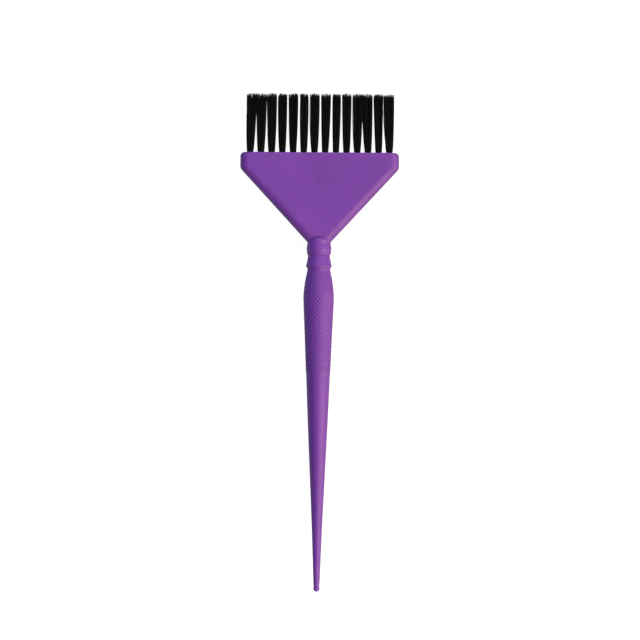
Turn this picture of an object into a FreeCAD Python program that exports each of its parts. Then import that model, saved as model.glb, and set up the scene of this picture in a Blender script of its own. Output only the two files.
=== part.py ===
import FreeCAD, Part
import math
import os
import Sketcher

# Wide tint brush for hair colour.
#
# A one-piece moulded handle (tapered tail, bulged grip, two neck rings, flat
# fan-shaped head) carries two rows of bristle tufts. Each tuft is a bundle of
# filaments folded round a flat metal anchor, which is driven into a blind
# hole in the head and bites into the plastic beside the hole.
#
# Frame, in millimetres: +Y runs along the brush from the tail to the bristle
# tips, +X across the head, +Z out of the head's front face. The origin is the
# middle of the bounding box's underside, so the brush lies level on Z = 0 and
# touches it with the bulge of the grip.

SIZES = {
    # Tail: rounded bead at the end, a shallow groove, then a long taper.
    "tail_end_radius": 1.28,
    "tail_groove_radius": 1.18,
    "tail_groove_length": 2.6,
    "tail_length": 91.2,
    "tail_middle_radius": 3.07,
    "tail_top_radius": 4.98,
    # Grip: stands a little proud of the tail and swells to its crown.
    "grip_step": 0.1,
    "grip_length": 42.3,
    "grip_crown_radius": 6.34,
    "grip_crown_to_groove": 12.0,
    "grip_shoulder_radius": 5.86,
    "grip_groove_radius": 4.75,
    # Neck: a lower ring with a sharp ridge, then a barrel-shaped upper ring.
    "lower_ring_length": 6.0,
    "lower_ring_rise": 1.5,
    "lower_ring_radius": 5.35,
    "lower_ring_waist_radius": 4.87,
    "ring_crease_radius": 4.52,
    "upper_ring_length": 5.5,
    "upper_ring_rise": 3.0,
    "upper_ring_radius": 5.1,
    "upper_ring_overrun": 2.6,
    "upper_ring_end_radius": 3.53,
    # Head: a fan with straight slopes, short upright sides and soft edges.
    "head_width": 65.9,
    "head_root_width": 9.6,
    "head_slope_height": 30.5,
    "head_side_height": 6.7,
    "head_thickness": 8.2,
    "head_edge_radius": 3.4,
    "head_corner_radius": 1.7,
    "head_shoulder_radius": 3.0,
    # Tuft holes: two aligned rows of blind holes in the head's end face.
    "tufts_per_row": 14,
    "side_to_first_tuft": 4.05,
    "hole_radius": 1.25,
    "hole_depth": 7.5,
    # Tufts: a close fit in the hole, then spread until they nearly meet.
    "tuft_clearance": 0.03,
    "bristle_free_length": 24.8,
    "tuft_tip_gap": 0.6,
    "tuft_tip_bevel": 0.8,
    # Anchors: flat pieces of wire, wider than the hole by a bite on each side.
    "anchor_bite": 0.2,
    "anchor_height": 1.7,
    "anchor_thickness": 0.3,
    "anchor_lift": 0.6,
    "anchor_clearance": 0.02,
}

SHEET = "Sizes"
FULL_TURN = 360
PARTS_FOLDER = "parts"

# Places along the handle, measured from the tail end.
GRIP_START = f"{SHEET}.tail_length"
GRIP_END = f"({GRIP_START} + {SHEET}.grip_length)"
RING_CREASE = f"({GRIP_END} + {SHEET}.lower_ring_length)"
HEAD_ROOT = f"({RING_CREASE} + {SHEET}.upper_ring_length)"
HEAD_SHOULDER = f"({HEAD_ROOT} + {SHEET}.head_slope_height)"
HEAD_FACE = f"({HEAD_SHOULDER} + {SHEET}.head_side_height)"
TOTAL_LENGTH = f"({HEAD_FACE} + {SHEET}.bristle_free_length)"

# Where the handle's axis lies in the part's frame.
AXIS_HEIGHT = f"max({SHEET}.grip_crown_radius; {SHEET}.head_thickness / 2)"

# The tufts' grid: spread evenly between the two sides, and one row in the
# middle of each half of the head's thickness.
TUFT_PITCH = f"(({SHEET}.head_width - 2 * {SHEET}.side_to_first_tuft) / ({SHEET}.tufts_per_row - 1))"
FIRST_TUFT = f"({SHEET}.head_width / 2 - {SHEET}.side_to_first_tuft)"
ROW_OFFSET = f"({SHEET}.head_thickness / 4)"
HOLE_FLOOR = f"({HEAD_FACE} - {SHEET}.hole_depth)"
ANCHOR_HALF_WIDTH = f"({SHEET}.hole_radius + {SHEET}.anchor_bite)"
TUFT_ROOT_RADIUS = f"({SHEET}.hole_radius - {SHEET}.tuft_clearance)"
TUFT_TIP_RADIUS = f"(min({TUFT_PITCH} / 2; {ROW_OFFSET}) - {SHEET}.tuft_tip_gap / 2)"

ROWS = {"front": 1, "back": -1}


def make_sheet(document):
    """Writes every driving size to the spreadsheet, one row and alias each."""
    sheet = document.addObject("Spreadsheet::Sheet", SHEET)
    for row, (alias, size) in enumerate(SIZES.items(), start=1):
        sheet.set(f"A{row}", alias)
        sheet.set(f"B{row}", str(size))
        sheet.setAlias(f"B{row}", alias)
    document.recompute()
    return sheet


def make_body(document, label):
    """Adds a body whose own origin is the tail end, on the handle's axis."""
    body = document.addObject("PartDesign::Body", label)
    body.Label = label
    return body


def origin_plane(body, role):
    """Returns one of the body's three origin planes."""
    return next(item for item in body.Origin.OriginFeatures if item.Role == role)


def add_sketch(body, name, role, height=None):
    """Adds a sketch on an origin plane, or parallel to it at a height."""
    sketch = body.newObject("Sketcher::SketchObject", name)
    sketch.AttachmentSupport = [(origin_plane(body, role), "")]
    sketch.MapMode = "FlatFace"
    if height is not None:
        sketch.setExpression("AttachmentOffset.Base.z", height)
    return sketch


def signed(expression):
    """Splits an optional leading minus sign from an expression."""
    if expression.startswith("-"):
        return -1, expression[1:]
    return 1, expression


def coordinate(sketch, expression):
    """Works out the present value of a signed expression."""
    sign, size = signed(expression)
    return sign * float(sketch.evalExpression(size))


def pin_coordinate(sketch, kind, name, geometry, end, expression):
    """Holds one coordinate of a point at a signed expression's value."""
    sign, size = signed(expression)
    if size == "0":
        axis = -2 if kind == "DistanceX" else -1
        sketch.addConstraint(Sketcher.Constraint("PointOnObject", geometry, end, axis))
        return
    points = (-1, 1, geometry, end) if sign > 0 else (geometry, end, -1, 1)
    value = float(sketch.evalExpression(size))
    index = sketch.addConstraint(Sketcher.Constraint(kind, *points, value))
    sketch.renameConstraint(index, name)
    sketch.setExpression(f"Constraints.{name}", size)


def pin_point(sketch, name, geometry, end, place):
    """Holds a point at a pair of signed expressions."""
    pin_coordinate(sketch, "DistanceX", f"{name}_x", geometry, end, place[0])
    pin_coordinate(sketch, "DistanceY", f"{name}_y", geometry, end, place[1])


def ends_in_order(sketch, geometry, start):
    """Returns an edge's two end numbers, the one at the start point first."""
    first = sketch.getPoint(geometry, 1)
    last = sketch.getPoint(geometry, 2)
    return (1, 2) if first.distanceToPoint(start) <= last.distanceToPoint(start) else (2, 1)


def draw_outline(sketch, name, corners, arcs=None):
    """Draws a closed outline and ties every corner to the spreadsheet.

    corners are pairs of expressions. arcs gives, for an edge's number, a
    point that the edge passes through, which makes that edge an arc.
    """
    arcs = arcs or {}
    spots = [FreeCAD.Vector(coordinate(sketch, x), coordinate(sketch, y), 0) for x, y in corners]
    edges = []
    for number, start in enumerate(spots):
        finish = spots[(number + 1) % len(spots)]
        if number in arcs:
            x, y = arcs[number]
            middle = FreeCAD.Vector(coordinate(sketch, x), coordinate(sketch, y), 0)
            geometry = sketch.addGeometry(Part.Arc(start, middle, finish))
        else:
            geometry = sketch.addGeometry(Part.LineSegment(start, finish))
        edges.append((geometry, *ends_in_order(sketch, geometry, start)))
    for number, (geometry, begin, _) in enumerate(edges):
        before, _, before_end = edges[number - 1]
        sketch.addConstraint(Sketcher.Constraint("Coincident", before, before_end, geometry, begin))
        pin_point(sketch, f"{name}_{number}", geometry, begin, corners[number])
    for number, place in arcs.items():
        spot = FreeCAD.Vector(coordinate(sketch, place[0]), coordinate(sketch, place[1]), 0)
        guide = sketch.addGeometry(Part.Point(spot), True)
        pin_point(sketch, f"{name}_through_{number}", guide, 1, place)
        sketch.addConstraint(Sketcher.Constraint("PointOnObject", guide, 1, edges[number][0]))


def draw_circle(sketch, name, place, radius):
    """Draws a circle whose centre and radius are tied to the spreadsheet."""
    centre = FreeCAD.Vector(coordinate(sketch, place[0]), coordinate(sketch, place[1]), 0)
    size = float(sketch.evalExpression(radius))
    geometry = sketch.addGeometry(Part.Circle(centre, FreeCAD.Vector(0, 0, 1), size))
    pin_point(sketch, name, geometry, 3, place)
    index = sketch.addConstraint(Sketcher.Constraint("Radius", geometry, size))
    sketch.renameConstraint(index, f"{name}_radius")
    sketch.setExpression(f"Constraints.{name}_radius", radius)


def revolve(body, sketch, name):
    """Turns a half profile, drawn right of the vertical axis, all the way round."""
    feature = body.newObject("PartDesign::Revolution", name)
    feature.Profile = sketch
    feature.ReferenceAxis = (sketch, ["V_Axis"])
    feature.Angle = FULL_TURN
    return feature


def extrude(body, kind, sketch, name, length, symmetric=False, reverse=False):
    """Pads or pockets a sketch by a length tied to the spreadsheet."""
    feature = body.newObject(f"PartDesign::{kind}", name)
    feature.Profile = sketch
    feature.SideType = "Symmetric" if symmetric else "One side"
    feature.Reversed = reverse
    feature.setExpression("Length", length)
    return feature


def repeat_across(body, originals, name):
    """Repeats features at every tuft's place along the row."""
    pattern = body.newObject("PartDesign::LinearPattern", name)
    pattern.Originals = originals
    pattern.Direction = (originals[0].Profile[0], ["H_Axis"])
    pattern.Mode = "Spacing"
    pattern.setExpression("Offset", TUFT_PITCH)
    pattern.setExpression("Occurrences", f"{SHEET}.tufts_per_row")
    body.Tip = pattern
    return pattern


def place(item, across="0", along="0", up="0"):
    """Moves a sub-part from its own origin to its place in the part's frame."""
    item.setExpression("Placement.Base.x", across)
    item.setExpression("Placement.Base.y", f"{along} - {TOTAL_LENGTH} / 2")
    item.setExpression("Placement.Base.z", f"{up} + {AXIS_HEIGHT}")


def add_head_fan(document, body):
    """Pads the fan, softens its slopes and sides, and rounds its top corners."""
    half_width = f"{SHEET}.head_width / 2"
    half_root = f"{SHEET}.head_root_width / 2"
    sketch = add_sketch(body, "HeadOutline", "XY_Plane")
    draw_outline(sketch, "fan", [
        (half_root, HEAD_ROOT),
        (half_width, HEAD_SHOULDER),
        (half_width, HEAD_FACE),
        (f"-{half_width}", HEAD_FACE),
        (f"-{half_width}", HEAD_SHOULDER),
        (f"-{half_root}", HEAD_ROOT),
    ])
    fan = extrude(body, "Pad", sketch, "HeadFan", f"{SHEET}.head_thickness", symmetric=True)
    document.recompute()
    soften_head_edges(body, fan)
    document.recompute()
    round_head_corners(body)


def soften_head_edges(body, fan):
    """Rounds the long edges of the slopes and sides, front and back.

    The radius is limited by the head's thickness, and by the narrow root,
    where the roundings of the two slopes come together.
    """
    face_height = fan.Shape.BoundBox.ZMax
    tolerance = 1e-6
    names = []
    for number, edge in enumerate(fan.Shape.Edges, start=1):
        first, last = (vertex.Point for vertex in edge.Vertexes)
        on_face = abs(abs(first.z) - face_height) < tolerance and abs(first.z - last.z) < tolerance
        if on_face and abs(first.y - last.y) > tolerance:
            names.append(f"Edge{number}")
    run = f"({SHEET}.head_width - {SHEET}.head_root_width) / 2"
    root_limit = f"{SHEET}.head_root_width / 2 / sqrt(1 + ({run} / {SHEET}.head_slope_height)^2)"
    spare = 0.1
    fillet = body.newObject("PartDesign::Fillet", "SoftEdges")
    fillet.Base = (fan, names)
    fillet.setExpression(
        "Radius",
        f"min({SHEET}.head_edge_radius; {SHEET}.head_thickness / 2 - {spare}; {root_limit} - {spare})",
    )


def round_head_corners(body):
    """Cuts the corners of the fan to their radii: beside the bristle face, and at the shoulders."""
    half_width = f"{SHEET}.head_width / 2"
    sketch = add_sketch(body, "CornerCuts", "XY_Plane")
    for name, side in (("right", ""), ("left", "-")):
        draw_corner_cut(sketch, f"{name}_top", side)
        draw_shoulder_cut(sketch, f"{name}_shoulder", side, half_width)
    extrude(body, "Pocket", sketch, "RoundCorners", f"2 * {SHEET}.head_thickness", symmetric=True)


def draw_corner_cut(sketch, name, side):
    """The waste outside a square corner's rounding, where a side meets the bristle face."""
    radius = f"{SHEET}.head_corner_radius"
    half_width = f"{SHEET}.head_width / 2"
    inner = f"({half_width} - {radius})"
    outer = f"({half_width} + {radius})"
    below = f"({HEAD_FACE} - {radius})"
    above = f"({HEAD_FACE} + {radius})"
    middle = f"(1 - sqrt(2) / 2) * {radius}"
    draw_outline(sketch, name, [
        (side + half_width, below),
        (side + outer, below),
        (side + outer, above),
        (side + inner, above),
        (side + inner, HEAD_FACE),
    ], arcs={4: (f"{side}({half_width} - {middle})", f"({HEAD_FACE} - {middle})")})


def draw_shoulder_cut(sketch, name, side, half_width):
    """The waste outside a shoulder's rounding, where a slope turns into a side.

    The slope leaves the side by the angle whose tangent is run over rise.
    The rounding touches both at the same distance from the sharp shoulder.
    """
    radius = f"{SHEET}.head_shoulder_radius"
    run = f"({SHEET}.head_width - {SHEET}.head_root_width) / 2"
    rise = f"{SHEET}.head_slope_height"
    slope = f"sqrt(({run})^2 + {rise}^2)"
    tangent = f"({radius} * ({slope} - {rise}) / ({run}))"
    bisector = f"sqrt({radius}^2 + {tangent}^2)"
    bite = f"({bisector} - {radius})"
    outer = f"({half_width} + {radius})"
    slope_touch = (
        f"({half_width} - {tangent} * ({run}) / {slope})",
        f"({HEAD_SHOULDER} - {tangent} * {rise} / {slope})",
    )
    middle = (
        f"({half_width} - {bite} * {radius} / {bisector})",
        f"({HEAD_SHOULDER} + {bite} * {tangent} / {bisector})",
    )
    draw_outline(sketch, name, [
        (side + slope_touch[0], slope_touch[1]),
        (side + outer, slope_touch[1]),
        (side + outer, f"({HEAD_SHOULDER} + {tangent})"),
        (side + half_width, f"({HEAD_SHOULDER} + {tangent})"),
    ], arcs={3: (side + middle[0], middle[1])})


def add_turned_handle(body):
    """Revolves the tail, grip and neck rings, which run into the head."""
    size = {name: f"{SHEET}.{name}" for name in SIZES}
    bead = size["tail_end_radius"]
    groove_end = f"({bead} + {size['tail_groove_length']})"
    tail_middle = f"({groove_end} + ({GRIP_START} - {groove_end}) / 2)"
    crown = f"({GRIP_END} - {size['grip_crown_to_groove']})"
    shoulder = f"({GRIP_END} - {size['grip_crown_to_groove']} / 2)"
    ridge = f"({GRIP_END} + {size['lower_ring_rise']})"
    ring_waist = f"({ridge} + ({RING_CREASE} - {ridge}) / 2)"
    barrel = f"({RING_CREASE} + {size['upper_ring_rise']})"
    hidden_end = f"({HEAD_ROOT} + {size['upper_ring_overrun']})"
    sketch = add_sketch(body, "HandleProfile", "XY_Plane")
    draw_outline(sketch, "profile", [
        ("0", "0"),
        (bead, bead),
        (bead, groove_end),
        (size["tail_top_radius"], GRIP_START),
        (f"({size['tail_top_radius']} + {size['grip_step']})", GRIP_START),
        (size["grip_crown_radius"], crown),
        (size["grip_groove_radius"], GRIP_END),
        (size["lower_ring_radius"], ridge),
        (size["ring_crease_radius"], RING_CREASE),
        (size["upper_ring_end_radius"], hidden_end),
        ("0", hidden_end),
    ], arcs={
        0: (f"sqrt(2) / 2 * {bead}", f"(1 - sqrt(2) / 2) * {bead}"),
        1: (size["tail_groove_radius"], f"({bead} + {size['tail_groove_length']} / 2)"),
        2: (size["tail_middle_radius"], tail_middle),
        5: (size["grip_shoulder_radius"], shoulder),
        7: (size["lower_ring_waist_radius"], ring_waist),
        8: (size["upper_ring_radius"], barrel),
    })
    revolve(body, sketch, "TurnedHandle")


def cut_tuft_holes(document, body):
    """Cuts both rows of blind holes, and the slots where the anchors bite."""
    holes = add_sketch(body, "FirstHoles", "XZ_Plane", f"-{HEAD_FACE}")
    slots = add_sketch(body, "FirstSlots", "XZ_Plane", f"-({anchor_top()})")
    half_width = f"({ANCHOR_HALF_WIDTH} + {SHEET}.anchor_clearance)"
    half_thickness = f"({SHEET}.anchor_thickness / 2 + {SHEET}.anchor_clearance)"
    for name, side in ROWS.items():
        sign = "" if side > 0 else "-"
        draw_circle(holes, name, (f"-{FIRST_TUFT}", f"{sign}{ROW_OFFSET}"), f"{SHEET}.hole_radius")
        low = f"{sign}({ROW_OFFSET} - {half_thickness})"
        high = f"{sign}({ROW_OFFSET} + {half_thickness})"
        draw_outline(slots, name, [
            (f"-({FIRST_TUFT} + {half_width})", low),
            (f"-({FIRST_TUFT} - {half_width})", low),
            (f"-({FIRST_TUFT} - {half_width})", high),
            (f"-({FIRST_TUFT} + {half_width})", high),
        ])
    hole_cut = extrude(body, "Pocket", holes, "Holes", f"{SHEET}.hole_depth", reverse=True)
    slot_height = f"{SHEET}.anchor_height + 2 * {SHEET}.anchor_clearance"
    slot_cut = extrude(body, "Pocket", slots, "AnchorSlots", slot_height, reverse=True)
    document.recompute()
    return repeat_across(body, [hole_cut, slot_cut], "HoleRows")


def anchor_bottom():
    """The anchors' lower edge, measured from the tail end."""
    return f"({HOLE_FLOOR} + {SHEET}.anchor_lift)"


def anchor_top():
    """The top of the anchors' slots, measured from the tail end."""
    return f"({anchor_bottom()} + {SHEET}.anchor_height + {SHEET}.anchor_clearance)"


def make_handle(document):
    """The one-piece moulded handle: tail, grip, neck rings and drilled head."""
    body = make_body(document, "handle")
    add_head_fan(document, body)
    add_turned_handle(body)
    document.recompute()
    solid_volume = body.Shape.Volume
    cut_tuft_holes(document, body)
    place(body)
    document.recompute()
    hole_area = math.pi * SIZES["hole_radius"] ** 2
    expected = len(ROWS) * SIZES["tufts_per_row"] * hole_area * SIZES["hole_depth"]
    removed = solid_volume - body.Shape.Volume
    if removed < expected:
        raise RuntimeError(f"the tuft holes took {removed:.1f} of at least {expected:.1f} mm3")
    return body


def make_tuft(document, row, number):
    """One bundle of filaments, folded round its anchor at the hole's floor."""
    body = make_body(document, f"bristle_tuft_{row}_{number + 1:02d}")
    tip = f"({SHEET}.hole_depth + {SHEET}.bristle_free_length)"
    bevel = f"{SHEET}.tuft_tip_bevel"
    profile = add_sketch(body, "TuftProfile", "XY_Plane")
    draw_outline(profile, "tuft", [
        ("0", "0"),
        (TUFT_ROOT_RADIUS, "0"),
        (TUFT_ROOT_RADIUS, f"{SHEET}.hole_depth"),
        (TUFT_TIP_RADIUS, f"({tip} - {bevel})"),
        (f"({TUFT_TIP_RADIUS} - {bevel} / 2)", tip),
        ("0", tip),
    ])
    revolve(body, profile, "Tuft")
    slot = add_sketch(body, "AnchorGap", "YZ_Plane")
    half_thickness = f"({SHEET}.anchor_thickness / 2 + {SHEET}.anchor_clearance)"
    low = f"({SHEET}.anchor_lift - {SHEET}.anchor_clearance)"
    high = f"({SHEET}.anchor_lift + {SHEET}.anchor_height + {SHEET}.anchor_clearance)"
    draw_outline(slot, "gap", [
        (low, f"-{half_thickness}"),
        (high, f"-{half_thickness}"),
        (high, half_thickness),
        (low, half_thickness),
    ])
    extrude(body, "Pocket", slot, "AnchorSlot", f"4 * {SHEET}.hole_radius", symmetric=True)
    place(
        body,
        across=f"{number} * {TUFT_PITCH} - {FIRST_TUFT}",
        along=HOLE_FLOOR,
        up=f"{ROWS[row]} * {ROW_OFFSET}",
    )
    return body


def make_anchors(document, row):
    """One row of flat wire anchors, as separate solids in one sub-part."""
    body = make_body(document, f"anchors_{row}_row")
    body.AllowCompound = True
    sketch = add_sketch(body, "AnchorOutline", "XY_Plane")
    draw_outline(sketch, "anchor", [
        (f"-{ANCHOR_HALF_WIDTH}", "0"),
        (ANCHOR_HALF_WIDTH, "0"),
        (ANCHOR_HALF_WIDTH, f"{SHEET}.anchor_height"),
        (f"-{ANCHOR_HALF_WIDTH}", f"{SHEET}.anchor_height"),
    ])
    anchor = extrude(body, "Pad", sketch, "Anchor", f"{SHEET}.anchor_thickness", symmetric=True)
    document.recompute()
    repeat_across(body, [anchor], "AnchorRow")
    place(body, across=f"-{FIRST_TUFT}", along=anchor_bottom(), up=f"{ROWS[row]} * {ROW_OFFSET}")
    return body


def check(document, subparts):
    """Stops with a message if anything failed to build."""
    for item in document.Objects:
        if "Invalid" in item.State or "Error" in item.State:
            raise RuntimeError(f"{item.Name} of {item.Label} is {item.State}")
    for item in subparts:
        if item.Shape.isNull() or not item.Shape.isValid() or not item.Shape.Solids:
            raise RuntimeError(f"{item.Label} has no valid solid")


def main():
    document = FreeCAD.newDocument("TintBrush")
    make_sheet(document)
    subparts = [make_handle(document)]
    for row in ROWS:
        for number in range(SIZES["tufts_per_row"]):
            subparts.append(make_tuft(document, row, number))
        subparts.append(make_anchors(document, row))
    document.recompute()
    check(document, subparts)
    os.makedirs(PARTS_FOLDER, exist_ok=True)
    for item in subparts:
        item.Shape.exportStep(os.path.join(PARTS_FOLDER, f"{item.Label}.step"))
        box = item.Shape.BoundBox
        print(f"{item.Label}: {len(item.Shape.Solids)} solid, {item.Shape.Volume:.2f} mm3,"
              f" x {box.XMin:.2f}..{box.XMax:.2f}, y {box.YMin:.2f}..{box.YMax:.2f},"
              f" z {box.ZMin:.2f}..{box.ZMax:.2f}")


main()
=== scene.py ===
# %% [markdown]
# # A wide tint brush
# The brush is one plastic moulding and two rows of folded bristle tufts. The packed
# model gives every piece its place. This lesson gives each piece its finished surface:
# a lathe-turned skin for the tail and grip, a lofted skin for the head, and real
# separate filaments in every tuft.

# %% Load the fixed frame
import math

import bmesh
import bpy
import numpy as np
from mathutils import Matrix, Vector


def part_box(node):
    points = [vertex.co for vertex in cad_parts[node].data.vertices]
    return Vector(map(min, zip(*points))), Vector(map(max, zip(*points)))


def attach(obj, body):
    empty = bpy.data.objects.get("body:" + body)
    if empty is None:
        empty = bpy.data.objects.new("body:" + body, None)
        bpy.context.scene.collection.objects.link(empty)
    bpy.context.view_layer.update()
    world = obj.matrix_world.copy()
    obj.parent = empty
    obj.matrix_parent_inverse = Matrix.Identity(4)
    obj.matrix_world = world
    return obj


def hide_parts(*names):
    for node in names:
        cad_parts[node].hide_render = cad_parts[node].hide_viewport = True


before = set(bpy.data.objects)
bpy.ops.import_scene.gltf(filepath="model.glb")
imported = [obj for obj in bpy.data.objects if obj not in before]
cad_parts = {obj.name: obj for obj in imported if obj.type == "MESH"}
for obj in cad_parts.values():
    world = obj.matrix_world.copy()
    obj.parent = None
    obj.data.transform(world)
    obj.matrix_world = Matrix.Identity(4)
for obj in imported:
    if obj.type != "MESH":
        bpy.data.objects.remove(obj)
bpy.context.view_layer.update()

MM = 0.001
scene = bpy.context.scene
print("frame holds", len(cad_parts), "nodes")

# %% [markdown]
# ## What the frame says
# The handle's box gives the tail end, the bristle face and the width of the head. The
# grip is the thickest place, so half the box's height is the level of the handle's
# axis. Everything below is placed from these few numbers, in millimetres.

# %% Read the places that everything else hangs on
handle_low, handle_high = (np.array(corner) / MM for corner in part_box("handle"))
first_low, first_high = (np.array(corner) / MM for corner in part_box("bristle_tuft_front_01"))
TAIL_END = handle_low[1]
HANDLE_LENGTH = handle_high[1] - handle_low[1]
HEAD_HALF_WIDTH = handle_high[0]
AXIS_HEIGHT = handle_high[2] / 2
BRISTLE_LENGTH = first_high[1] - handle_high[1]
HOLE_DEPTH = handle_high[1] - first_low[1]
ROWS = ("front", "back")
TUFTS = 14
print(f"handle {HANDLE_LENGTH:.1f} mm, head {2 * HEAD_HALF_WIDTH:.1f} mm")
print(f"bristles {BRISTLE_LENGTH:.1f} mm, holes {HOLE_DEPTH:.1f} mm deep")

# %% [markdown]
# ## Camera
# The brush is looked at square on, from straight above its face, and it leans a hair to
# the right. A long lens from far away keeps the slopes of the head straight and hides
# the sides. The picture is a little wider than the brush is long.

# %% Camera
VIEW_WIDTH = 265.6
CAMERA_HEIGHT = 1400.0
SENSOR_WIDTH = 36.0
LEAN = math.radians(0.44)
VIEW_CENTRE = (0.64, 9.27)

camera_data = bpy.data.cameras.new("camera")
camera_data.sensor_width = SENSOR_WIDTH
camera_data.lens = camera_data.sensor_width * CAMERA_HEIGHT / VIEW_WIDTH
camera = bpy.data.objects.new("camera", camera_data)
camera.location = (VIEW_CENTRE[0] * MM, VIEW_CENTRE[1] * MM, (AXIS_HEIGHT + CAMERA_HEIGHT) * MM)
camera.rotation_euler = (0.0, 0.0, LEAN)
scene.collection.objects.link(camera)
scene.camera = camera
print(f"lens {camera_data.lens:.0f} mm")

# %% [markdown]
# ## Making meshes
# Every skin here is a stack of rings of points, whether it is turned on a lathe, lofted
# or drilled. One helper lists the faces between the rings, and another one turns points
# and faces into a smooth object.

# %% Mesh helpers
def add_object(name, vertices, faces):
    """Makes a smooth-shaded mesh object from points in metres."""
    mesh = bpy.data.meshes.new(name)
    mesh.from_pydata(vertices, [], faces)
    mesh.shade_smooth()
    item = bpy.data.objects.new(name, mesh)
    scene.collection.objects.link(item)
    return item


def faces_between_rings(rings, around, first=0, close_start=True, close_end=True):
    """Faces that join a stack of rings of points, with a cap on each closed end."""
    faces = []
    for k in range(rings - 1):
        near = first + k * around
        far = near + around
        for j in range(around):
            after = (j + 1) % around
            faces.append((near + j, far + j, far + after, near + after))
    if close_start:
        faces.append(tuple(range(first, first + around)))
    if close_end:
        last = first + (rings - 1) * around
        faces.append(tuple(reversed(range(last, last + around))))
    return faces


print("mesh helpers ready")

# %% [markdown]
# ## Making materials
# A plain colour looks like paint on a screen. Real finishes vary a little from place to
# place, so each material here starts from noise measured in millimetres, which gives
# the grain its right size on the real thing. Ramps then turn the noise into colour and
# roughness.

# %% Material helpers
NOISE_LOW = 0.3
NOISE_HIGH = 0.7


def new_material(name):
    """Starts a node material and returns it with its node tree and shader."""
    material = bpy.data.materials.new(name)
    material.use_nodes = True
    tree = material.node_tree
    return material, tree, tree.nodes["Principled BSDF"]


def add_noise(tree, size_mm, detail=3.0, roughness=0.5, stretch=(1, 1, 1)):
    """Adds noise whose blobs are about size_mm across, and returns its value output."""
    place = tree.nodes.new("ShaderNodeTexCoord")
    scale = tree.nodes.new("ShaderNodeMapping")
    scale.inputs["Scale"].default_value = [1.0 / (size_mm * MM * s) for s in stretch]
    noise = tree.nodes.new("ShaderNodeTexNoise")
    noise.inputs["Scale"].default_value = 1.0
    noise.inputs["Detail"].default_value = detail
    noise.inputs["Roughness"].default_value = roughness
    tree.links.new(place.outputs["Object"], scale.inputs["Vector"])
    tree.links.new(scale.outputs["Vector"], noise.inputs["Vector"])
    return noise.outputs["Fac"]


def ramp_between(tree, value, low, high, start=NOISE_LOW, end=NOISE_HIGH):
    """Turns a value into a colour that runs from low to high."""
    ramp = tree.nodes.new("ShaderNodeValToRGB")
    ramp.color_ramp.elements[0].position = start
    ramp.color_ramp.elements[1].position = end
    ramp.color_ramp.elements[0].color = (*low, 1.0)
    ramp.color_ramp.elements[1].color = (*high, 1.0)
    tree.links.new(value, ramp.inputs["Fac"])
    return ramp.outputs["Color"]


def range_between(tree, value, low, high):
    """Stretches the noise's usual range over low to high."""
    scale = tree.nodes.new("ShaderNodeMapRange")
    scale.inputs["From Min"].default_value = NOISE_LOW
    scale.inputs["From Max"].default_value = NOISE_HIGH
    scale.inputs["To Min"].default_value = low
    scale.inputs["To Max"].default_value = high
    tree.links.new(value, scale.inputs["Value"])
    return scale.outputs["Result"]


def mix_colour(tree, factor, under, over):
    """Lays one plain colour over another by a factor."""
    mix = tree.nodes.new("ShaderNodeMix")
    mix.data_type = "RGBA"
    tree.links.new(factor, mix.inputs["Factor"])
    tree.links.new(under, mix.inputs["A"])
    mix.inputs["B"].default_value = (*over, 1.0)
    return mix.outputs["Result"]


def add_bump(tree, shader, heights, strength, depth_mm):
    """Adds a fine relief to the shader's normal."""
    bump = tree.nodes.new("ShaderNodeBump")
    bump.inputs["Strength"].default_value = strength
    bump.inputs["Distance"].default_value = depth_mm * MM
    tree.links.new(heights, bump.inputs["Height"])
    tree.links.new(bump.outputs["Normal"], shader.inputs["Normal"])


print("material helpers ready")

# %% [markdown]
# ## The handle's plastic
# The handle is coloured right through and moulded against a finely blasted steel
# surface. That gives a satin look: the colour is even with faint cloudy flow, and the
# gloss is broken by a grain far finer than a millimetre. The sharpness of the surface
# drives two more layers of painted light: sharp convex edges get a painted highlight
# in a lighter purple, and creases get painted shade in a dark purple.

# %% Purple satin plastic
PURPLE = (0.049, 0.0066, 0.114)
PURPLE_CLOUD = (0.063, 0.0098, 0.137)
# painted highlight: the lighter purple laid on sharp convex edges
PURPLE_EDGE_HIGHLIGHT = (0.092, 0.030, 0.158)
# painted shade: the dark purple laid in creases
PURPLE_CREASE_SHADE = (0.020, 0.0040, 0.055)
BLACK = (0, 0, 0)
WHITE = (1, 1, 1)
CLOUD_SIZE = 14.0
CLOUD_RANGE = (0.35, 0.65)
EDGE_HIGHLIGHT_RANGE = (0.52, 0.62)
CREASE_SHADE_RANGE = (0.40, 0.49)
GRAIN_SIZE = 0.35
GRAIN_DEPTH = 0.05
SATIN_ROUGHNESS = (0.56, 0.68)


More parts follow.
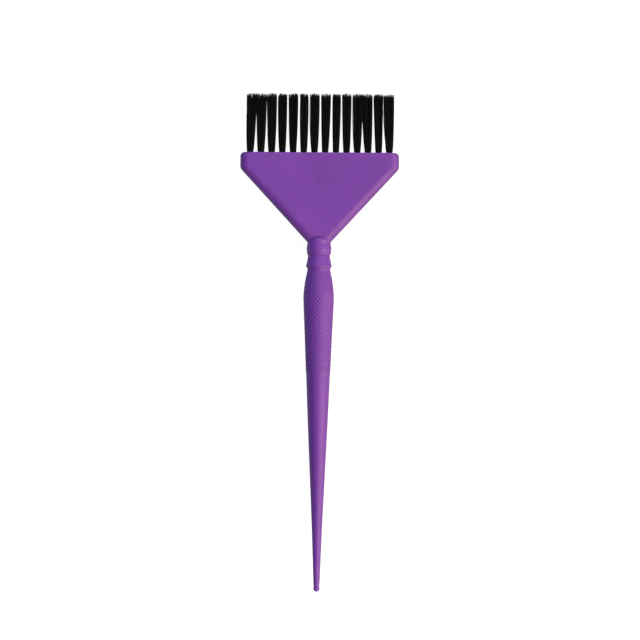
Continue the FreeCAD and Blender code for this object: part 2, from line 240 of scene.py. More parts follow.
def make_handle_plastic():
    """Even purple with faint flow clouds, painted highlights on sharp edges, painted shade in
    creases and a blasted grain.
    """
    material, tree, shader = new_material("purple_satin_plastic")
    cloud = add_noise(tree, CLOUD_SIZE, detail=5.0, roughness=0.8, stretch=(1, 2, 1))
    body_colour = ramp_between(tree, cloud, PURPLE, PURPLE_CLOUD, *CLOUD_RANGE)
    geometry = tree.nodes.new("ShaderNodeNewGeometry")
    sharpness = geometry.outputs["Pointiness"]
    # painted highlight: the sharper the convex edge, the more of the lighter purple is laid on it
    edge_highlight = ramp_between(tree, sharpness, BLACK, WHITE, *EDGE_HIGHLIGHT_RANGE)
    # painted shade: the deeper the crease, the more of the dark purple is laid in it
    crease_shade = ramp_between(tree, sharpness, WHITE, BLACK, *CREASE_SHADE_RANGE)
    edge_highlighted = mix_colour(tree, edge_highlight, body_colour, PURPLE_EDGE_HIGHLIGHT)
    painted_light_colour = mix_colour(tree, crease_shade, edge_highlighted, PURPLE_CREASE_SHADE)
    tree.links.new(painted_light_colour, shader.inputs["Base Color"])
    grain = add_noise(tree, GRAIN_SIZE, detail=4.0)
    tree.links.new(range_between(tree, grain, *SATIN_ROUGHNESS), shader.inputs["Roughness"])
    add_bump(tree, shader, grain, 0.6, GRAIN_DEPTH)
    shader.inputs["IOR"].default_value = 1.49
    shader.inputs["Specular IOR Level"].default_value = 0.31
    return material


handle_plastic = make_handle_plastic()
print("made", handle_plastic.name)

# %% [markdown]
# ## The turned profile
# Tail, grip and neck rings are round, so their shape is one line: the radius at each
# place along the handle. A few points describe each stretch and a smooth curve joins
# them. A new stretch starts wherever the real surface has a sharp crease.

# %% Profile of the tail, grip and rings, as place from the tail end and radius
BEAD = 1.28
BEAD_STEPS = 9
BEAD_FIRST_TURN = 0.12
GROOVE_DIP = 0.10
GROOVE_LENGTH = 2.6
GRIP_START = 91.2
GRIP_END = 133.5
RING_CREASE = 139.5
TAPER = [(3.88, 1.28), (14.0, 1.64), (26.0, 2.10), (47.5, 3.07), (70.0, 4.10), (91.1, 4.96)]
GRIP = [(91.3, 5.07), (101.0, 5.46), (111.0, 5.88), (119.0, 6.24), (122.2, 6.335),
        (125.0, 6.17), (127.5, 5.86), (130.0, 5.46), (132.3, 4.98), (133.5, 4.75)]
LOWER_RING = [(133.5, 4.75), (133.9, 4.80), (134.2, 4.76), (134.4, 4.78), (134.65, 5.14),
              (134.85, 5.30), (135.1, 5.345), (135.4, 5.27), (136.4, 5.02), (137.6, 4.79),
              (138.8, 4.60), (139.5, 4.44)]
UPPER_RING = [(139.5, 4.44), (139.85, 4.74), (140.2, 4.91), (140.45, 4.94), (140.75, 4.89),
              (141.0, 4.89), (141.4, 4.98), (142.2, 5.09), (143.0, 5.04), (144.3, 4.84),
              (144.9, 4.83), (145.6, 4.93), (146.2, 4.93), (146.6, 4.80), (146.85, 4.50),
              (147.0, 4.10), (147.1, 3.5)]
print("profile from", 0.0, "to", UPPER_RING[-1][0], "mm")

# %% [markdown]
# ## A smooth line through few points
# A straight line from point to point would show flat bands on a shiny taper. A cubic
# between each pair of points keeps the slope the same on both sides of a point, so the
# light runs along the handle without a break. The end bead is a plain quarter circle
# with half a wave behind it.

# %% Sample the profile
TAIL_STEP = 2.0
KNURL_STEP = 0.19
LOWER_RING_STEP = 0.25
UPPER_RING_STEP = 0.3


def smooth_stretch(points, step):
    """Samples a smooth curve through the points, about one sample per step."""
    places, radii = np.array(points).T
    slopes = np.gradient(radii, places)
    samples = []
    for k in range(len(places) - 1):
        span = places[k + 1] - places[k]
        count = max(1, round(span / step))
        t = np.arange(count) / count
        value = ((1 + 2 * t) * (1 - t) ** 2 * radii[k] + t * (1 - t) ** 2 * span * slopes[k]
                 + t ** 2 * (3 - 2 * t) * radii[k + 1] + t ** 2 * (t - 1) * span * slopes[k + 1])
        samples.extend(zip(places[k] + t * span, value))
    samples.append((places[-1], radii[-1]))
    return samples


def tail_bead():
    """A rounded end and the shallow groove that makes it a bead."""
    turn_angle = np.linspace(BEAD_FIRST_TURN, math.pi / 2, BEAD_STEPS)
    bead = [(BEAD * (1 - math.cos(a)), BEAD * math.sin(a)) for a in turn_angle]
    groove = [(BEAD + GROOVE_LENGTH * t, BEAD - GROOVE_DIP * math.sin(math.pi * t))
              for t in np.linspace(0.1, 0.9, BEAD_STEPS)]
    return bead + groove


tail_line = tail_bead() + smooth_stretch(TAPER, TAIL_STEP)
grip_line = smooth_stretch(GRIP, KNURL_STEP)
lower_ring_line = smooth_stretch(LOWER_RING, LOWER_RING_STEP)[1:]
upper_ring_line = smooth_stretch(UPPER_RING, UPPER_RING_STEP)
print(len(tail_line), "tail,", len(grip_line), "grip and", len(lower_ring_line), "ring stations")

# %% [markdown]
# ## The knurl and the mould seam
# The grip carries a fine diamond knurl: two families of shallow grooves wind round it
# in opposite directions. It could be a bump in the material, but a real relief also
# breaks the outline and the highlights. So the lathe moves each point inwards by the
# depth of the groove it lies in. The moulding's parting line is a fine raised seam on
# both sides, where the two halves of the mould met.

# %% Rings of points with knurl and seam
AROUND = 240
KNURL_STARTS = 24
KNURL_PITCH = 1.9
KNURL_DEPTH = 0.16
KNURL_SHARPNESS = 4
KNURL_FADE = 0.5
SEAM_HEIGHT = 0.03
SEAM_SHARE = 0.02

angles = np.arange(AROUND) * 2 * math.pi / AROUND


def knurl_depth(place, angle):
    """How far the crossing grooves cut in at a place on the grip."""
    turn_phase = KNURL_STARTS * angle
    climb = 2 * math.pi * (place - GRIP_START) / KNURL_PITCH
    right = ((1 + np.cos(turn_phase + climb)) / 2) ** KNURL_SHARPNESS
    left = ((1 + np.cos(turn_phase - climb)) / 2) ** KNURL_SHARPNESS
    fade = np.clip(min(place - GRIP_START, GRIP_END - place) / KNURL_FADE, 0, 1)
    return KNURL_DEPTH * fade * np.maximum(right, left)


def turned_ring(place, radius, knurled):
    """One ring of points round the handle's axis, in metres."""
    r = np.full(AROUND, radius)
    if knurled:
        r = r - knurl_depth(place, angles)
    r[[0, AROUND // 2]] += min(SEAM_HEIGHT, SEAM_SHARE * radius)
    x = r * np.cos(angles)
    z = r * np.sin(angles) + AXIS_HEIGHT
    return [(px * MM, (TAIL_END + place) * MM, pz * MM) for px, pz in zip(x, z)]


print(f"knurl of {KNURL_STARTS} starts, {KNURL_DEPTH} mm deep")

# %% [markdown]
# ## Turning
# The shaft runs from the bead to the crease between the two rings, and stays open
# there. The upper ring is turned as its own closed piece, because it has to be merged
# with the head first.

# %% Lathe
def turn(name, stations, close_end):
    """Turns stations of (place, radius, knurled) into a lathe mesh."""
    vertices = [point for station in stations for point in turned_ring(*station)]
    faces = faces_between_rings(len(stations), AROUND, close_end=close_end)
    return add_object(name, vertices, faces)


shaft_stations = [(s, r, False) for s, r in tail_line]
shaft_stations += [(s, r, True) for s, r in grip_line]
shaft_stations += [(s, r, False) for s, r in lower_ring_line]
shaft = turn("shaft", shaft_stations, close_end=False)
neck = turn("neck", [(s, r, False) for s, r in upper_ring_line], close_end=True)
print("shaft", len(shaft.data.polygons), "faces, neck", len(neck.data.polygons), "faces")

# %% [markdown]
# ## The fan-shaped head
# The head is a flat fan with large soft edges on its slopes and sides and a crisp rim
# at the bristle face. It could be an extruded outline with bevels, but the bevel is
# wider than the outline's corner radii and would fold over. A loft avoids that: at each
# place along the brush it draws one rounded section, whose width follows the outline.

# %% Sizes of the head
HEAD_THICKNESS = 8.2
EDGE_RADIUS = 3.4
ROOT_PLACE = 145.0
ROOT_HALF_WIDTH = 4.8
SHOULDER_PLACE = 175.5
SHOULDER_RADIUS = 3.0
CORNER_RADIUS = 1.7
RIM_RADIUS = 0.35
ROOT_SINK = 0.32
ROOT_SINK_PLACE = 153.0
ROOT_SINK_LENGTH = 7.0
FACE_PLACE = HANDLE_LENGTH
SIDE = HEAD_HALF_WIDTH - SEAM_HEIGHT
SLOPE = (SIDE - ROOT_HALF_WIDTH) / (SHOULDER_PLACE - ROOT_PLACE)
SLOPE_LENGTH = math.hypot(1.0, SLOPE)
SHOULDER_TANGENT = SHOULDER_RADIUS * (SLOPE_LENGTH - 1.0) / SLOPE
print(f"slopes lean out {SLOPE:.2f} mm for each mm, up to {SHOULDER_PLACE} mm from the tail end")

# %% Outline, soft edges and thickness at any place
SLOPE_STEP = 0.05
LEAST_FLAT = 0.05


def half_width(place):
    """Half the head's width at a place along the brush."""
    arc_start = SHOULDER_PLACE - SHOULDER_TANGENT / SLOPE_LENGTH
    arc_end = SHOULDER_PLACE + SHOULDER_TANGENT
    corner_start = FACE_PLACE - CORNER_RADIUS
    if place < arc_start:
        return ROOT_HALF_WIDTH + SLOPE * (place - ROOT_PLACE)
    if place < arc_end:
        return SIDE - SHOULDER_RADIUS + math.sqrt(SHOULDER_RADIUS ** 2 - (arc_end - place) ** 2)
    if place > corner_start:
        drop = CORNER_RADIUS ** 2 - (place - corner_start) ** 2
        return SIDE - CORNER_RADIUS + math.sqrt(max(0.0, drop))
    return SIDE


def side_softness(place):
    """How far the soft edge reaches in from the side, measured across the head."""
    if place > SHOULDER_PLACE + SHOULDER_TANGENT:
        return EDGE_RADIUS
    rise = half_width(place + SLOPE_STEP) - half_width(place - SLOPE_STEP)
    slope = rise / (2 * SLOPE_STEP)
    return min(EDGE_RADIUS * math.hypot(1.0, slope), half_width(place) - LEAST_FLAT)


def half_thickness(place):
    """Half the head's thickness: it sinks towards the neck and rounds off at the face."""
    into_rim = max(0.0, place - (FACE_PLACE - RIM_RADIUS))
    rim = RIM_RADIUS - math.sqrt(max(0.0, RIM_RADIUS ** 2 - into_rim ** 2))
    into_root = min(1.0, max(0.0, (ROOT_SINK_PLACE - place) / ROOT_SINK_LENGTH))
    sink = ROOT_SINK * into_root ** 2 * (3 - 2 * into_root)
    return HEAD_THICKNESS / 2 - rim - sink


print(f"half width {half_width(ROOT_SINK_PLACE):.1f} mm where the root starts to sink")

# %% [markdown]
# ## Lofting the sections
# A section is drawn as one quarter and mirrored twice, so the brush is truly the same
# on all sides. Sections stand close together where the outline bends and far apart
# where it is straight, which keeps the mesh light.

# %% Loft of the head
ARC_STEPS = 14
FLAT_STEPS = 20
SEAM_HALF_WIDTH = 0.12
LOFT_START = 142.0
SLOPE_START = 150.0
ROOT_STEP = 0.25
SLOPE_SECTIONS = 20
SLOPE_TO_SHOULDER = 2.0
SHOULDER_BEFORE = 1.8
SHOULDER_AFTER = 1.4
SHOULDER_SECTIONS = 15
SIDE_SECTIONS = 4
CORNER_SECTIONS = 14
CORNER_FIRST_TURN = 0.12
RIM_SECTIONS = 5
QUARTER_TURN = math.pi / 2


def head_section(place):
    """One closed section of the head, as points across and up from the axis."""
    width = half_width(place)
    reach = side_softness(place)
    height = half_thickness(place)
    turn_angle = np.linspace(0.0, QUARTER_TURN, ARC_STEPS + 1)
    arc_x = width - reach + reach * np.cos(turn_angle)
    arc_z = height - EDGE_RADIUS + EDGE_RADIUS * np.sin(turn_angle)
    flat_x = np.linspace(width - reach, 0.0, FLAT_STEPS + 1)[1:]
    quarter = [(width + SEAM_HEIGHT, 0.0), (width, SEAM_HALF_WIDTH)]
    quarter += list(zip(arc_x, arc_z)) + [(x, height) for x in flat_x]
    half = quarter + [(-x, z) for x, z in quarter[-2::-1]]
    return half + [(x, -z) for x, z in half[-2:0:-1]]


def head_places():
    """Places along the brush where the loft needs a section."""
    root = np.arange(LOFT_START, SLOPE_START, ROOT_STEP)
    slope = np.linspace(SLOPE_START, SHOULDER_PLACE - SLOPE_TO_SHOULDER, SLOPE_SECTIONS)
    shoulder = np.linspace(SHOULDER_PLACE - SHOULDER_BEFORE, SHOULDER_PLACE + SHOULDER_AFTER,
                           SHOULDER_SECTIONS)
    side = np.linspace(SHOULDER_PLACE + SLOPE_TO_SHOULDER, FACE_PLACE - CORNER_RADIUS, SIDE_SECTIONS)
    corner_turn = np.linspace(CORNER_FIRST_TURN, QUARTER_TURN, CORNER_SECTIONS)
    corner = FACE_PLACE - CORNER_RADIUS + CORNER_RADIUS * np.sin(corner_turn)
    rim_turn = np.linspace(0, QUARTER_TURN, RIM_SECTIONS)
    rim = FACE_PLACE - RIM_RADIUS + RIM_RADIUS * np.sin(rim_turn)
    places = np.concatenate([root, slope, shoulder, side, corner, rim])
    return sorted(set(np.round(places, 4)))


def loft_head():
    """Joins the sections into a closed fan."""
    places = head_places()
    sections = [head_section(place) for place in places]
    vertices = [(x * MM, (TAIL_END + place) * MM, (z + AXIS_HEIGHT) * MM)
                for place, section in zip(places, sections) for x, z in section]
    return add_object("head_fan", vertices, faces_between_rings(len(places), len(sections[0])))


head = loft_head()
print("head", len(head.data.polygons), "faces")

# %% [markdown]
# ## The holes for the tufts
# Each tuft sits in its own blind hole. The frame's tufts say where the holes are, and
# all of them are made as one cutter: plain bores that widen at the mouth, as a drilled
# and brushed hole does.

# %% Drills
HOLE_RADIUS = 1.25
HOLE_LEAD_IN = 0.12
DRILL_SIDES = 32
DRILL_OVERRUN = 0.5


def tuft_centre(row, number):
    """Where a tuft's axis crosses the head: across and up, in millimetres."""
    low, high = (np.array(corner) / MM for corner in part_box(f"bristle_tuft_{row}_{number:02d}"))
    return (low[0] + high[0]) / 2, (low[2] + high[2]) / 2


def make_drills():
    """All the holes as one cutter: plain bores with a small lead-in at the mouth."""
    face = TAIL_END + FACE_PLACE
    profile = [(face - HOLE_DEPTH, HOLE_RADIUS), (face - HOLE_LEAD_IN, HOLE_RADIUS),
               (face + DRILL_OVERRUN, HOLE_RADIUS + HOLE_LEAD_IN + DRILL_OVERRUN)]
    turns = [2 * math.pi * j / DRILL_SIDES for j in range(DRILL_SIDES)]
    vertices, faces = [], []
    for row in ROWS:
        for number in range(1, TUFTS + 1):
            across, up = tuft_centre(row, number)
            faces += faces_between_rings(len(profile), DRILL_SIDES, first=len(vertices))
            vertices += [((across + r * math.cos(a)) * MM, y * MM, (up + r * math.sin(a)) * MM)
                         for y, r in profile for a in turns]
    return add_object("tuft_drills", vertices, faces)


drills = make_drills()
print("drills", len(drills.data.polygons), "faces")

# %% [markdown]
# ## Neck and holes by boolean
# The fan and the upper ring are united with a boolean, which gives the arched crease
# where the round neck runs into the flat face. The same tool then cuts the holes out of
# the end face. A boolean needs closed skins that look outwards, so the normals are put
# right first.

# %% Unite and drill
def fix_normals(item):
    """Makes all faces look outwards."""
    mesh = bmesh.new()
    mesh.from_mesh(item.data)
    bmesh.ops.recalc_face_normals(mesh, faces=mesh.faces)
    mesh.to_mesh(item.data)
    mesh.free()


def apply_boolean(item, other, operation):
    """Applies an exact boolean to item and removes the other object."""
    modifier = item.modifiers.new(operation, "BOOLEAN")
    modifier.operation = operation
    modifier.solver = "EXACT"
    modifier.object = other
    graph = bpy.context.evaluated_depsgraph_get()
    result = bpy.data.meshes.new_from_object(item.evaluated_get(graph))
    item.modifiers.clear()
    item.data = result
    bpy.data.objects.remove(other)


for part in (shaft, neck, head, drills):
    fix_normals(part)
apply_boolean(head, neck, "UNION")
apply_boolean(head, drills, "DIFFERENCE")
print("head with neck and holes", len(head.data.polygons), "faces")

# %% [markdown]
# ## One moulding
# The shaft is joined on at the crease between the rings, where both meshes have the
# same ring of points, so that the handle becomes one closed skin. Only the crease and
# the edges of the boolean are shaded sharp.

# %% Join the shaft
SHARP_ANGLE = math.radians(20)
ON_CREASE = 1e-7
WELD_DISTANCE = 0.002


def on_crease(vertices):
    """Whether all the points lie in the plane of the crease between the rings."""
    crease_y = (TAIL_END + RING_CREASE) * MM
    return all(abs(vertex.co.y - crease_y) < ON_CREASE for vertex in vertices)


def join_handle(head_part, shaft_part):
    """Opens the neck at the crease, welds the shaft on and returns the open edges."""
    mesh = bmesh.new()
    mesh.from_mesh(head_part.data)
    for face in [f for f in mesh.faces if on_crease(f.verts)]:
        mesh.faces.remove(face)
    for edge in mesh.edges:
        if len(edge.link_faces) == 2 and edge.calc_face_angle() > SHARP_ANGLE:
            edge.smooth = False
    mesh.from_mesh(shaft_part.data)
    bmesh.ops.remove_doubles(mesh, verts=mesh.verts, dist=WELD_DISTANCE * MM)
    bmesh.ops.triangulate(mesh, faces=[f for f in mesh.faces if len(f.verts) > 4])
    bmesh.ops.recalc_face_normals(mesh, faces=mesh.faces)
    for edge in mesh.edges:
        if on_crease(edge.verts):
            edge.smooth = False
    open_edges = sum(1 for edge in mesh.edges if len(edge.link_faces) != 2)
    mesh.to_mesh(head_part.data)
    mesh.free()
    bpy.data.objects.remove(shaft_part)
    head_part.name = "handle_skin"
    return open_edges


open_edges = join_handle(head, shaft)
handle_skin = head
handle_skin.data.materials.clear()
handle_skin.data.materials.append(handle_plastic)
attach(handle_skin, "root")
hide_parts("handle")
print("handle skin", len(handle_skin.data.polygons), "faces,", open_edges, "open edges")

# %% [markdown]
# ## Black bristle filament
# The filaments are black nylon, a fifth of a millimetre thick. They are dyed through,
# so the colour hardly changes, but each one carries a thin line of light along it.
# Noise stretched along the filament keeps neighbours from looking alike.

# %% Bristle nylon
NYLON_DARK = (0.0006, 0.0006, 0.0006)
NYLON_LIGHT = (0.0018, 0.0017, 0.0017)
NYLON_ROUGHNESS = (0.42, 0.62)
STREAK_SIZE = 0.5
DRAW_MARK_SIZE = 0.06
FINE_RELIEF = 0.01


def make_bristle_nylon():
    """Near-black filament with a soft sheen that varies along its length."""
    material, tree, shader = new_material("black_bristle_nylon")
    streak = add_noise(tree, STREAK_SIZE, detail=2.0, stretch=(1, 14, 1))
    tree.links.new(ramp_between(tree, streak, NYLON_DARK, NYLON_LIGHT), shader.inputs["Base Color"])
    tree.links.new(range_between(tree, streak, *NYLON_ROUGHNESS), shader.inputs["Roughness"])
    draw_marks = add_noise(tree, DRAW_MARK_SIZE, detail=1.0, stretch=(1, 8, 1))
    add_bump(tree, shader, draw_marks, 0.2, FINE_RELIEF)
    shader.inputs["Specular IOR Level"].default_value = 0.05
    return material


bristle_nylon = make_bristle_nylon()
print("made", bristle_nylon.name)

# %% [markdown]
# ## Folded tufts
# On the real brush a bundle of long filaments is folded in half over a flat anchor and
# driven into its hole, so every filament has two free ends. Hair particles could fake
# that, but they leave no mesh. Here each filament is a thin five-sided tube: down from
# one tip, into the hole, under the anchor and back up to the other tip. It starts with
# the roots, which stand close together in half rings on each side of the anchor.

# %% Roots in a hole
FILAMENT_RADIUS = 0.095
ROOT_RADIUS = 1.14
PACKING = 0.212
ROOT_SCATTER = 0.008


def packed_roots(rng):
    """Filament places in the front half of a hole, in half rings from the wall inwards."""
    spots = []
    ring_radius = ROOT_RADIUS
    while ring_radius > PACKING / 2:
        count = int(math.pi * ring_radius / PACKING)
        for k in range(count):
            angle = math.pi * (k + 0.5) / count
            spots.append((ring_radius * math.cos(angle), ring_radius * math.sin(angle)))
        ring_radius -= PACKING
    spots = np.array(spots)
    return spots + rng.normal(0, ROOT_SCATTER, spots.shape)


print(len(packed_roots(np.random.default_rng(0))), "folded filaments in a hole")

# %% [markdown]
# ## Free ends
# Outside the hole the bundle spreads from a round stem to a nearly square brush end, as
# its neighbours press it flat. On a brush that has been handled the tips also gather in
# small locks, a few hairs stray, and the lengths differ, which makes the edge soft. The
# first two tufts lean together, and so do the eleventh and the twelfth.

# %% Paths of the free ends
TIP_LEAN = (0.6, 0.1, -0.1, 0.1, 0.1, 0.0, 0.0, 0.2, 0.2, -0.1, 0.2, -0.4, -0.4, -0.4)
TIP_WIDTH = (4.3, 4.4, 4.1, 3.6, 3.9, 3.4, 4.0, 3.9, 3.4, 3.9, 4.3, 4.3, 3.8, 4.2)
TIP_DEPTH = 3.5
SQUARENESS = 0.8
LOCKS = 9
LOCK_SPREAD = 0.9
LOCK_PULL = 0.18
LOCK_CUT = 0.25
TIP_SCATTER = 0.08
STRAY_SHARE = 0.04
STRAY_SCATTER = 0.25
SHOULDER_DROP = 0.35
RAGGED = 1.6
RAGGED_POWER = 1.1
BOW = 0.07
FREE_STEPS = (0.0, 0.04, 0.10, 0.19, 0.30, 0.42, 0.56, 0.70, 0.82, 0.92, 1.0)


def spread_tips(rng, disc, width):
    """Where the tips stand round the tuft's middle, and how much each lock is cut short."""
    spread = np.array([width, TIP_DEPTH])
    squared = disc / np.sqrt(1 - SQUARENESS * np.minimum(disc[:, ::-1] ** 2, 1.0))
    tips = squared * spread / 2
    locks = rng.uniform(-LOCK_SPREAD, LOCK_SPREAD, (LOCKS, 2)) * spread / 2
    nearest = np.argmin(((tips[:, None] - locks[None]) ** 2).sum(2), axis=1)
    tips = tips + LOCK_PULL * (locks[nearest] - tips) + rng.normal(0, TIP_SCATTER, tips.shape)
    strays = rng.random(len(disc)) < STRAY_SHARE
    tips[strays] += rng.normal(0, STRAY_SCATTER, (strays.sum(), 2))
    lock_cut = rng.uniform(0, LOCK_CUT, LOCKS)[nearest]
    return tips, lock_cut


def free_end(rng, roots, lean, width):
    """Paths from the hole's mouth to the tips, one row of points per filament."""
    count = len(roots)
    disc = roots / ROOT_RADIUS
    tips, lock_cut = spread_tips(rng, disc, width)
    shoulder = SHOULDER_DROP * (disc ** 2).sum(axis=1)
    length = BRISTLE_LENGTH - lock_cut - shoulder - RAGGED * rng.random(count) ** RAGGED_POWER
    bow = rng.normal(0, BOW, (count, 2))
    path = np.zeros((count, len(FREE_STEPS), 3))
    for k, t in enumerate(FREE_STEPS):
        across = roots + (tips - roots) * math.sqrt(t) + bow * math.sin(math.pi * t)
        path[:, k, 0] = across[:, 0] + lean * t
        path[:, k, 1] = HOLE_DEPTH + length * t
        path[:, k, 2] = across[:, 1]
    return path


print(f"tips {min(TIP_WIDTH)} to {max(TIP_WIDTH)} mm wide and {TIP_DEPTH} mm deep")

# %% [markdown]
# ## The fold
# In the hole the bundle parts round the flat anchor, and its filaments pass under the
# anchor's lower edge. Nobody sees this, but a filament that simply ended at the hole's
# mouth would float when the brush is cut open or looked at from the end.

# %% Paths through the fold
ANCHOR_HALF = 0.17
ANCHOR_TOP = 2.4
WIRE_GAP = 0.1
FOLD_HEIGHT = 0.42
FOLD_SAG = 0.22
FOLD_SIDE_SAG = 0.4
FOLD_NARROWING = 0.95
FOLD_SQUEEZE = 0.7
FOLD_REACH = 0.75
STEM_NARROWING = 0.97
STEM_SQUEEZE = 0.78
STEM_START = FOLD_HEIGHT + 0.9
STEM_END = ANCHOR_TOP + 1.0


def stem(roots, side):
    """Paths beside the anchor and up to the hole's mouth, on one side of the anchor."""
    depth = np.abs(roots[:, 1])
    path = np.zeros((len(roots), 2, 3))
    path[:, :, 0] = roots[:, :1] * STEM_NARROWING
    path[:, :, 1] = (STEM_START, STEM_END)
    path[:, 0, 2] = side * (ANCHOR_HALF + WIRE_GAP + depth * STEM_SQUEEZE)
    path[:, 1, 2] = side * depth
    return path


def fold(roots):
    """Paths under the anchor, from its back to its front."""
    depth = np.abs(roots[:, 1])
    reach = ANCHOR_HALF + WIRE_GAP + depth * FOLD_SQUEEZE
    path = np.zeros((len(roots), 3, 3))
    for k, side in enumerate((-1, 0, 1)):
        sag = 1 if side == 0 else FOLD_SIDE_SAG
        path[:, k, 0] = roots[:, 0] * FOLD_NARROWING
        path[:, k, 1] = FOLD_HEIGHT - FOLD_SAG * depth / ROOT_RADIUS * sag
        path[:, k, 2] = side * reach * FOLD_REACH
    return path


def folded_filaments(rng, lean, width):
    """Whole filaments: tip, hole, fold under the anchor, hole, tip."""
    front = packed_roots(rng)
    back = front * np.array([1, -1])
    up_front = free_end(rng, front, lean, width)
    up_back = free_end(rng, back, lean, width)
    down = np.concatenate([up_back[:, ::-1], stem(back, -1)[:, ::-1]], axis=1)
    up = np.concatenate([stem(front, 1), up_front], axis=1)
    return np.concatenate([down, fold(front), up], axis=1)


print(f"the fold hangs {FOLD_HEIGHT} mm above the floor of its hole")

# %% [markdown]
# ## Tubes round the paths
# A filament is ground thinner over its last few millimetres, which is what makes the
# tips of a good brush soft. Five sides are enough for a tube this thin, and each tip
# gets a cap, so that every filament is a closed solid.

# %% Tubes
TIP_RADIUS = 0.048
TAPER_LENGTH = 5.0
TAPER_POWER = 0.7
TUBE_SIDES = 5


def tube_radius(paths):
    """The radius at every point of every path: full, and thinner towards both tips."""
    steps = np.linalg.norm(np.diff(paths, axis=1), axis=2)
    from_start = np.concatenate([np.zeros((len(paths), 1)), np.cumsum(steps, axis=1)], axis=1)
    to_tip = np.minimum(from_start, from_start[:, -1:] - from_start)
    fullness = np.clip(to_tip / TAPER_LENGTH, 0, 1) ** TAPER_POWER
    return TIP_RADIUS + (FILAMENT_RADIUS - TIP_RADIUS) * fullness


def tube_rings(paths):
    """Five points round every point of every path."""
    along = np.gradient(paths, axis=1)
    along /= np.linalg.norm(along, axis=2, keepdims=True)
    aside = np.array([1.0, 0.0, 0.0]) - along[..., :1] * along
    aside /= np.linalg.norm(aside, axis=2, keepdims=True)
    other = np.cross(along, aside)
    turn_angle = 2 * math.pi * np.arange(TUBE_SIDES) / TUBE_SIDES
    cosines = np.cos(turn_angle)[:, None]
    sines = np.sin(turn_angle)[:, None]
    ring = cosines * aside[..., None, :] + sines * other[..., None, :]
    return paths[..., None, :] + tube_radius(paths)[..., None, None] * ring


def tube_faces(filaments, points):
    """Faces of all the tubes of one tuft, with a cap on every tip."""
    faces = []
    for f in range(filaments):
        base = f * points * TUBE_SIDES
        for k in range(points - 1):
            near = base + k * TUBE_SIDES
            far = near + TUBE_SIDES
            for j in range(TUBE_SIDES):
                after = (j + 1) % TUBE_SIDES
                faces.append((near + j, near + after, far + after, far + j))
        last = base + (points - 1) * TUBE_SIDES
        faces.append(tuple(base + j for j in reversed(range(TUBE_SIDES))))
        faces.append(tuple(last + j for j in range(TUBE_SIDES)))
    return faces


print(f"filaments {2 * FILAMENT_RADIUS} mm thick, {2 * TIP_RADIUS} mm at the tips")

# %% [markdown]
# ## Both rows
# Every tuft has its own seed, made from its row and number. So no two tufts are alike,
# and the brush comes out the same each time. A tuft takes the place of the solid that
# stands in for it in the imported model.

# %% Make the tufts
LEAN_SCATTER = 0.05
SEEDS_PER_ROW = 100


def make_tuft(row, number):
    """One tuft of folded filaments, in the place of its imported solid."""
    rng = np.random.default_rng(SEEDS_PER_ROW * ROWS.index(row) + number)
    lean = TIP_LEAN[number - 1] + rng.normal(0, LEAN_SCATTER)
    paths = folded_filaments(rng, lean, TIP_WIDTH[number - 1])
    across, up = tuft_centre(row, number)
    hole_floor = TAIL_END + FACE_PLACE - HOLE_DEPTH
    points = tube_rings(paths) + np.array([across, hole_floor, up])
    vertices = (points.reshape(-1, 3) * MM).tolist()
    tuft = add_object(f"filaments_{row}_{number:02d}", vertices, tube_faces(*paths.shape[:2]))
    tuft.data.materials.append(bristle_nylon)
    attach(tuft, "root")
    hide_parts(f"bristle_tuft_{row}_{number:02d}")
    return len(paths)


filament_count = 0
for row in ROWS:
    for number in range(1, TUFTS + 1):
        filament_count += make_tuft(row, number)
print(filament_count, "folded filaments in", TUFTS * len(ROWS), "tufts")

# %% [markdown]
# ## Anchors
# The anchors are cut from flat drawn wire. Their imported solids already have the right
# shape, so they only get a metal finish, with drawing marks along the wire.

# %% Drawn wire
WIRE_DARK = (0.50, 0.36, 0.14)
WIRE_LIGHT = (0.66, 0.50, 0.24)
WIRE_ROUGHNESS = (0.28, 0.45)
WIRE_MARK_SIZE = 0.08


def make_anchor_metal():
    """Yellow drawn wire with fine lines along it."""
    material, tree, shader = new_material("drawn_brass_wire")
    marks = add_noise(tree, WIRE_MARK_SIZE, detail=3.0, stretch=(20, 1, 1))
    tree.links.new(ramp_between(tree, marks, WIRE_DARK, WIRE_LIGHT), shader.inputs["Base Color"])
    tree.links.new(range_between(tree, marks, *WIRE_ROUGHNESS), shader.inputs["Roughness"])
    add_bump(tree, shader, marks, 0.2, FINE_RELIEF)
    shader.inputs["Metallic"].default_value = 1.0
    return material


anchor_metal = make_anchor_metal()
for row in ROWS:
    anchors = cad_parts[f"anchors_{row}_row"]
    anchors.data.materials.clear()
    anchors.data.materials.append(anchor_metal)
print("anchors finished in", anchor_metal.name)

# %% [markdown]
# ## The table
# The brush lies on a pale sheet that is lit from within, like a light table. A white
# table under lamps strong enough to look pure white would throw that light back at the
# brush and wash its purple out. The sheet does it the other way round: it glows nearly
# white by itself and has a dark, dull surface, so the rims of the brush stay deep.

# %% Floor
FLOOR_SIZE = 3.0
FLOOR_CELLS = 8
SHEET_DARK = (0.075, 0.075, 0.075)
SHEET_LIGHT = (0.090, 0.090, 0.090)
SHEET_ROUGHNESS = (0.75, 0.85)
SHEET_MOTTLE_SIZE = 60.0


def make_floor():
    """A large flat sheet at the brush's underside."""
    mesh = bmesh.new()
    bmesh.ops.create_grid(mesh, x_segments=FLOOR_CELLS, y_segments=FLOOR_CELLS, size=FLOOR_SIZE / 2)
    data = bpy.data.meshes.new("floor")
    mesh.to_mesh(data)
    mesh.free()
    item = bpy.data.objects.new("floor", data)
    scene.collection.objects.link(item)
    return item


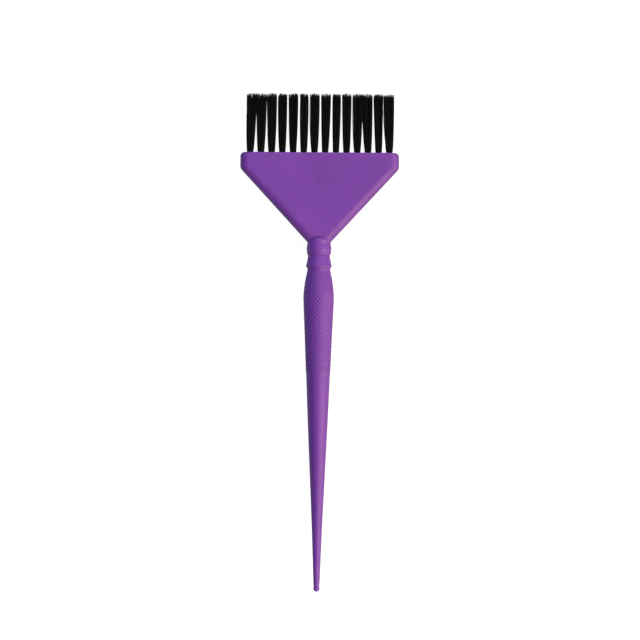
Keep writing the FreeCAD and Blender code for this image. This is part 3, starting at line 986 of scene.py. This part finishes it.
def make_glowing_sheet():
    """A dull sheet that glows nearly white, with a barely visible mottle."""
    material, tree, shader = new_material("pale_table")
    mottle = add_noise(tree, SHEET_MOTTLE_SIZE, detail=2.0)
    tree.links.new(ramp_between(tree, mottle, SHEET_DARK, SHEET_LIGHT), shader.inputs["Base Color"])
    tree.links.new(range_between(tree, mottle, *SHEET_ROUGHNESS), shader.inputs["Roughness"])
    shader.inputs["Specular IOR Level"].default_value = 0.2
    shader.inputs["Emission Color"].default_value = (1.0, 1.0, 1.0, 1.0)
    shader.inputs["Emission Strength"].default_value = 0.95
    return material


floor = make_floor()
floor.data.materials.append(make_glowing_sheet())

# %% [markdown]
# ## The light
# The flat face shows its full purple while the right slope and the right side of the
# handle go lilac. That needs one large warm box low at the lower right: its gloss meets
# the slopes that face it and misses the flat face. Two small cool boxes beyond the two
# ends and a dim cool room fill the left side with violet.

# %% Lights
AIM = Vector((0.0, 0.02, 0.0))
END_BOX_SIZE = (0.7, 0.5)
WARM = (1.0, 0.80, 0.58)
COOL = (0.74, 0.82, 1.0)
COOL_TAIL = (0.76, 0.82, 1.0)
ROOM_COLOUR = (0.80, 0.84, 1.0, 1.0)
ROOM_STRENGTH = 0.34


def add_soft_box(name, place, size, power, colour):
    """An area light aimed at the middle of the brush."""
    data = bpy.data.lights.new(name, "AREA")
    data.shape = "RECTANGLE"
    data.size, data.size_y = size
    data.energy = power
    data.color = colour
    item = bpy.data.objects.new(name, data)
    item.location = place
    item.rotation_euler = (AIM - Vector(place)).to_track_quat("-Z", "Y").to_euler()
    scene.collection.objects.link(item)


add_soft_box("right_key_box", (1.22, -0.54, 0.96), (1.2, 1.1), 94.0, WARM)
add_soft_box("bristle_side_box", (0.0, 1.0, 0.95), END_BOX_SIZE, 26.0, COOL)
add_soft_box("tail_side_box", (0.0, -1.0, 0.95), END_BOX_SIZE, 7.0, COOL_TAIL)

room = bpy.data.worlds.new("studio")
room.use_nodes = True
room.node_tree.nodes["Background"].inputs["Color"].default_value = ROOM_COLOUR
room.node_tree.nodes["Background"].inputs["Strength"].default_value = ROOM_STRENGTH
scene.world = room
scene.view_settings.view_transform = "Standard"
